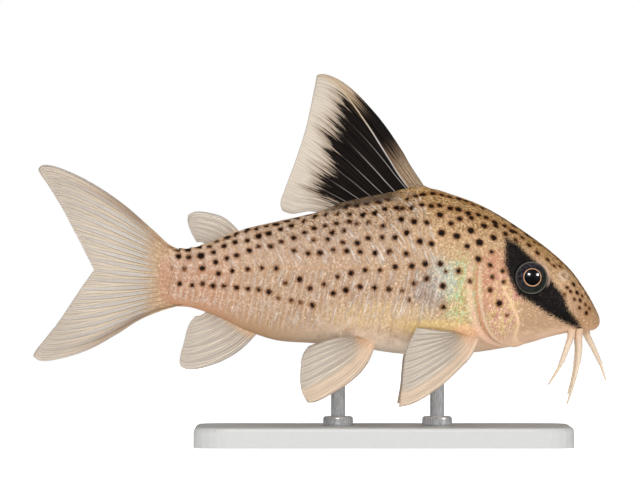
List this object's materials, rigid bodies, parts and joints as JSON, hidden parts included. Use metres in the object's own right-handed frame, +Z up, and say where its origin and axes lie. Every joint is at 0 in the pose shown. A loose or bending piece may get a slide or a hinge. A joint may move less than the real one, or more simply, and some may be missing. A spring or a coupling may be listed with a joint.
{
  "type": "corydoras catfish model on a display stand",
  "caption": "Life-size still model of a spotted corydoras catfish with plated flanks, raised dorsal fin, forked tail and barbels, held over a flat base by two short rods.",
  "frame": {"origin": "under the middle of the whole model's box, on the surface that the stand rests on", "axes": "+X towards the snout, +Y towards the fish's left side, +Z up"},
  "size_m": [0.0734, 0.026, 0.0474],
  "materials": {
    "skin": "moist skin over bony plates, dark spots and a black eye mask",
    "eye": "clear glossy eye",
    "dorsal_fin": "satin rayed fin, black in front",
    "fin": "satin translucent rayed fin",
    "barbel": "satin flesh",
    "stand_base": "satin",
    "stand_rod": "brushed"
  },
  "bodies": {
    "root": {"head": "skin", "gill_cover_right": "skin", "gill_cover_left": "skin", "eye_right": "eye", "eye_left": "eye", "trunk": "skin", "tail_stem": "skin", "dorsal_fin": "dorsal_fin", "adipose_fin": "fin", "caudal_fin": "fin", "anal_fin": "fin", "pelvic_fin_right": "fin", "pelvic_fin_left": "fin", "pectoral_fin_right": "fin", "pectoral_fin_left": "fin", "barbel_outer_right": "barbel", "barbel_outer_left": "barbel", "barbel_inner_right": "barbel", "barbel_inner_left": "barbel", "barbel_chin_right": "barbel", "barbel_chin_left": "barbel", "stand_base": "stand_base", "stand_rod_front": "stand_rod", "stand_rod_rear": "stand_rod"}
  },
  "joints": []
}
